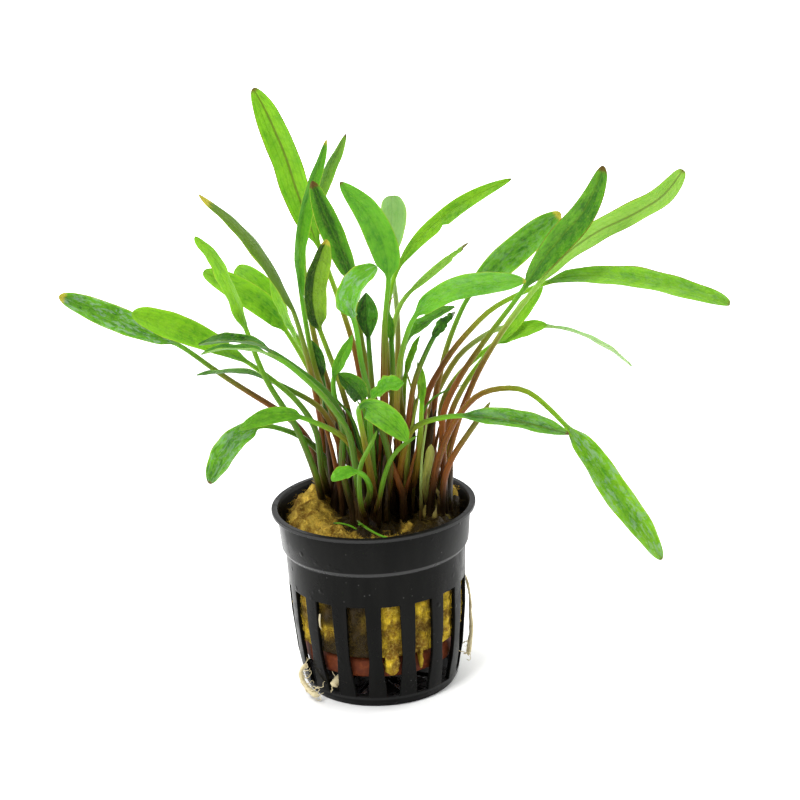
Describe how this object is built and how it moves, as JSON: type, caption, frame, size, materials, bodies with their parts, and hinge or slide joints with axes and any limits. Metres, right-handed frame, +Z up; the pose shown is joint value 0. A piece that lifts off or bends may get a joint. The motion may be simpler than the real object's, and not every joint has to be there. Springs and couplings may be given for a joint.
{
  "type": "potted_aquarium_plant",
  "caption": "Slatted plastic net pot with a rockwool plug on a clay disc, carrying a spreading tuft of long-stalked lance-shaped aquarium plant leaves; stands on its flat base.",
  "frame": {"origin": "centre of the flat underside of the net pot, on the table", "axes": "+Z up, -Y to the front as pictured, +X to the right, along the widest spread of the leaves"},
  "size_m": [0.168, 0.0746, 0.154],
  "materials": {
    "pot": "satin moulded plastic, nearly black, with dried water marks",
    "wool": "wet matted mineral fibre, golden brown",
    "clay": "matt fired clay, red-brown",
    "crown": "smooth wet plant tissue, brown",
    "bright": "satin leaf, bright yellow-green",
    "mid": "satin leaf, middle green",
    "dark": "satin leaf, dark mottled green",
    "grey": "satin leaf, grey-green",
    "pale": "thin pale translucent leaf",
    "shoot": "smooth cream-yellow shoot",
    "olive": "smooth olive stalk",
    "root": "smooth cream root, wet"
  },
  "bodies": {
    "root": {"net_pot": "pot", "clay_disc": "clay", "rockwool_plug": "wool", "crown_left": "crown", "crown_middle": "crown", "crown_back": "crown", "crown_centre": "crown", "crown_right": "crown", "leaf_arching_grey": "grey", "leaf_arching_right": "bright", "leaf_back_right": "grey", "leaf_behind_right": "bright", "leaf_bright_left": "bright", "leaf_broad_back_left": "bright", "leaf_centre_front": "bright", "leaf_curled_front": "bright", "leaf_curled_mid": "mid", "leaf_dark_centre": "dark", "leaf_dark_front": "dark", "leaf_dark_left": "dark", "leaf_dark_mottled": "dark", "leaf_drooping_left": "mid", "leaf_drooping_right": "bright", "leaf_far_left": "mid", "leaf_folded_front": "bright", "leaf_folded_left_lower": "mid", "leaf_folded_left_upper": "dark", "leaf_folded_tall": "dark", "leaf_level_right": "bright", "leaf_low_left": "bright", "leaf_low_right": "mid", "leaf_mid_right": "mid", "leaf_narrow_back": "grey", "leaf_narrow_back_left": "bright", "leaf_narrow_centre": "dark", "leaf_oval_front": "bright", "leaf_pale_round": "pale", "leaf_pointed_back": "grey", "leaf_round_back_left": "bright", "leaf_slim_left": "mid", "leaf_slim_mid": "mid", "leaf_small_low_left": "bright", "leaf_small_right": "mid", "leaf_small_upright": "bright", "leaf_tall_left": "bright", "leaf_tall_right": "mid", "leaf_thin_arching_right": "pale", "leaf_thin_left": "dark", "leaf_torn_dark": "dark", "leaf_torn_narrow": "mid", "leaf_twisted_left": "mid", "leaf_wavy_right": "bright", "petiole_cut": "olive", "stem_bare_arching": "mid", "stem_bare_front": "mid", "young_shoot": "shoot", "root_left": "root", "root_slot": "root", "root_right": "root"}
  },
  "joints": []
}
